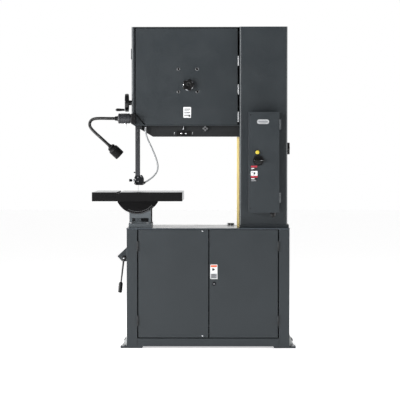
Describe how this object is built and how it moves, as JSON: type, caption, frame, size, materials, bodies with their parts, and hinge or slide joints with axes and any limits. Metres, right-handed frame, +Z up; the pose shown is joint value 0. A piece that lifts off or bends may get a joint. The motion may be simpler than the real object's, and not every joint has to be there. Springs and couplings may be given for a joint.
{
  "type": "band saw",
  "caption": "Floor-standing vertical metal-cutting band saw: drive cabinet, column, head, tilting table, rise-and-fall blade guide, control box and gooseneck lamp.",
  "frame": {"origin": "centre of the four floor anchor holes, on the floor", "axes": "+X to the operator's right, +Y from the front to the rear, +Z up"},
  "size_m": [1.3899, 0.6783, 2.146],
  "materials": {
    "body_paint": "textured grey powder coat",
    "dark_paint": "satin near-black paint",
    "yellow_paint": "pale yellow powder coat",
    "cast_grey": "painted casting",
    "table_iron": "ground top, dark edges",
    "foot_grey": "light grey primer",
    "steel": "turned steel",
    "chrome": "polished",
    "black_plastic": "moulded",
    "black_gloss": "moulded, glossy",
    "yellow_plastic": "moulded",
    "rubber_black": "vulcanised",
    "hose_grey": "light grey hose",
    "glass": "clear",
    "motor_grey": "painted finned housing"
  },
  "bodies": {
    "frame": {"foot_brackets": "foot_grey", "machine_bolts": "steel", "cabinet_frame": "body_paint", "cabinet_top_plate": "body_paint", "cabinet_panels": "body_paint", "wheel_bulkhead": "body_paint", "lower_bearing_housing": "cast_grey", "drive_motor": "motor_grey", "drive_belt": "rubber_black", "saw_blade": "steel", "slide_rails": "steel", "column": "body_paint", "head_shell": "body_paint", "valve_panel": "dark_paint", "door_hardware": "body_paint", "post_housing": "cast_grey", "trunnion_base": "cast_grey", "lower_guide": "cast_grey", "electrical_box": "body_paint", "cable_gland": "black_plastic", "lamp_base": "dark_paint", "gooseneck": "black_gloss", "lamp_head": "black_gloss", "lamp_lens": "glass", "gear_housing": "body_paint", "air_fitting": "chrome", "air_hose": "hose_grey"},
    "head_door": {"head_door": "body_paint"},
    "head_knob": {"head_knob": "black_plastic"},
    "left_door": {"left_door": "body_paint"},
    "right_door": {"right_door": "body_paint"},
    "door_lock": {"door_lock": "chrome"},
    "return_guard": {"return_guard": "yellow_paint"},
    "control_door": {"control_door": "body_paint"},
    "disconnect_handle": {"disconnect_handle": "black_gloss"},
    "yellow_button": {"yellow_button": "yellow_plastic"},
    "table": {"table_top": "table_iron", "table_insert": "steel", "trunnion_segments": "table_iron"},
    "guide_post": {"guide_post": "steel", "guide_block": "steel", "guide_inserts": "steel"},
    "backup_bearing": {"backup_bearing": "steel"},
    "thumbscrew": {"thumbscrew": "chrome"},
    "handwheel": {"handwheel": "chrome"},
    "crank_grip": {"crank_grip": "black_plastic"},
    "upper_slide": {"upper_wheel_slide": "cast_grey"},
    "upper_wheel": {"upper_wheel": "cast_grey", "upper_tyre": "rubber_black"},
    "tension_screw": {"tension_screw": "steel"},
    "lower_wheel": {"lower_wheel": "cast_grey", "lower_tyre": "rubber_black", "driven_pulley": "steel"},
    "motor_pulley": {"motor_pulley": "steel"},
    "gear_lever": {"gear_lever": "black_gloss"},
    "lamp_switch": {"lamp_switch": "chrome"},
    "valve_knob": {"valve_knob": "chrome"},
    "side_knob": {"side_knob": "black_plastic"},
    "button_left": {"button_left": "chrome"},
    "button_right": {"button_right": "chrome"}
  },
  "joints": [
    {"name": "head_door_hinge", "type": "hinge", "parent": "frame", "child": "head_door", "pos_m": [0.2035, -0.1776, 1.8], "axis": [0, 0, 1], "range_deg": [0, 100]},
    {"name": "head_knob_turn", "type": "hinge", "parent": "head_door", "child": "head_knob", "pos_m": [-0.133, -0.19, 1.755], "axis": [0, 1, 0], "range_deg": [0, 360]},
    {"name": "left_door_hinge", "type": "hinge", "parent": "frame", "child": "left_door", "pos_m": [-0.468, -0.3056, 0.4], "axis": [0, 0, -1], "range_deg": [0, 110]},
    {"name": "right_door_hinge", "type": "hinge", "parent": "frame", "child": "right_door", "pos_m": [0.468, -0.3056, 0.4], "axis": [0, 0, 1], "range_deg": [0, 110]},
    {"name": "door_lock_turn", "type": "hinge", "parent": "right_door", "child": "door_lock", "pos_m": [0.0396, -0.3, 0.43], "axis": [0, 1, 0], "range_deg": [0, 90]},
    {"name": "return_guard_hinge", "type": "hinge", "parent": "frame", "child": "return_guard", "pos_m": [0.204, -0.02, 1.1], "axis": [0, 0, -1], "range_deg": [0, 100]},
    {"name": "control_door_hinge", "type": "hinge", "parent": "frame", "child": "control_door", "pos_m": [0.4771, -0.35, 1.2], "axis": [0, 0, 1], "range_deg": [0, 110]},
    {"name": "disconnect_turn", "type": "hinge", "parent": "control_door", "child": "disconnect_handle", "pos_m": [0.3328, -0.36, 1.251], "axis": [0, 1, 0], "range_deg": [0, 90]},
    {"name": "yellow_button_press", "type": "slide", "parent": "control_door", "child": "yellow_button", "axis": [0, 1, 0], "range_m": [0, 0.004], "stiffness_N_per_m": 800},
    {"name": "table_tilt", "type": "hinge", "parent": "frame", "child": "table", "pos_m": [-0.4753, -0.05, 1.04], "axis": [0, 1, 0], "range_deg": [-10, 38]},
    {"name": "guide_post_slide", "type": "slide", "parent": "frame", "child": "guide_post", "axis": [0, 0, 1], "range_m": [0, 0.25], "deforming": ["air_hose"]},
    {"name": "backup_bearing_spin", "type": "hinge", "parent": "guide_post", "child": "backup_bearing", "pos_m": [-0.4753, -0.0262, 1.103], "axis": [1, 0, 0], "continuous": true},
    {"name": "thumbscrew_turn", "type": "hinge", "parent": "guide_post", "child": "thumbscrew", "pos_m": [-0.515, -0.098, 1.116], "axis": [1, 0, 0], "range_deg": [0, 360]},
    {"name": "handwheel_spin", "type": "hinge", "parent": "frame", "child": "handwheel", "pos_m": [-0.546, -0.142, 1.638], "axis": [1, 0, 0], "range_deg": [0, 1800]},
    {"name": "crank_grip_spin", "type": "hinge", "parent": "handwheel", "child": "crank_grip", "pos_m": [-0.59, -0.142, 1.591], "axis": [1, 0, 0], "continuous": true},
    {"name": "upper_wheel_tension", "type": "slide", "parent": "frame", "child": "upper_slide", "axis": [0, 0, -1], "range_m": [0, 0.015]},
    {"name": "upper_wheel_spin", "type": "hinge", "parent": "upper_slide", "child": "upper_wheel", "pos_m": [-0.13655, -0.05, 1.776], "axis": [0, 1, 0], "continuous": true},
    {"name": "tension_screw_turn", "type": "hinge", "parent": "frame", "child": "tension_screw", "pos_m": [-0.13655, 0, 1.55], "axis": [0, 0, 1], "range_deg": [0, 1100]},
    {"name": "lower_wheel_spin", "type": "hinge", "parent": "frame", "child": "lower_wheel", "pos_m": [-0.13655, -0.05, 0.42], "axis": [0, 1, 0], "continuous": true},
    {"name": "motor_pulley_spin", "type": "hinge", "parent": "frame", "child": "motor_pulley", "pos_m": [0.38, 0.165, 0.25], "axis": [0, 1, 0], "continuous": true},
    {"name": "gear_lever_swing", "type": "hinge", "parent": "frame", "child": "gear_lever", "pos_m": [-0.566, -0.195, 0.596], "axis": [0, 1, 0], "range_deg": [0, 50]},
    {"name": "lamp_switch_flip", "type": "hinge", "parent": "frame", "child": "lamp_switch", "pos_m": [-0.553, -0.2, 1.494], "axis": [0, 1, 0], "range_deg": [0, 18]},
    {"name": "valve_knob_turn", "type": "hinge", "parent": "frame", "child": "valve_knob", "pos_m": [-0.02, -0.13, 1.465], "axis": [0, 1, 0], "range_deg": [0, 270]},
    {"name": "side_knob_turn", "type": "hinge", "parent": "frame", "child": "side_knob", "pos_m": [0.54, 0, 1.331], "axis": [1, 0, 0], "range_deg": [0, 360]},
    {"name": "button_left_press", "type": "slide", "parent": "frame", "child": "button_left", "axis": [0, 1, 0], "range_m": [0, 0.003], "stiffness_N_per_m": 500},
    {"name": "button_right_press", "type": "slide", "parent": "frame", "child": "button_right", "axis": [0, 1, 0], "range_m": [0, 0.003], "stiffness_N_per_m": 500}
  ],
  "couplings": [
    {"joint": "handwheel_spin", "follows": "guide_post_slide", "rad_per_m": 111.11},
    {"joint": "upper_wheel_spin", "follows": "lower_wheel_spin", "ratio": 1},
    {"joint": "motor_pulley_spin", "follows": "lower_wheel_spin", "ratio": 3.1111},
    {"joint": "tension_screw_turn", "follows": "upper_wheel_tension", "rad_per_m": 1256.6}
  ]
}
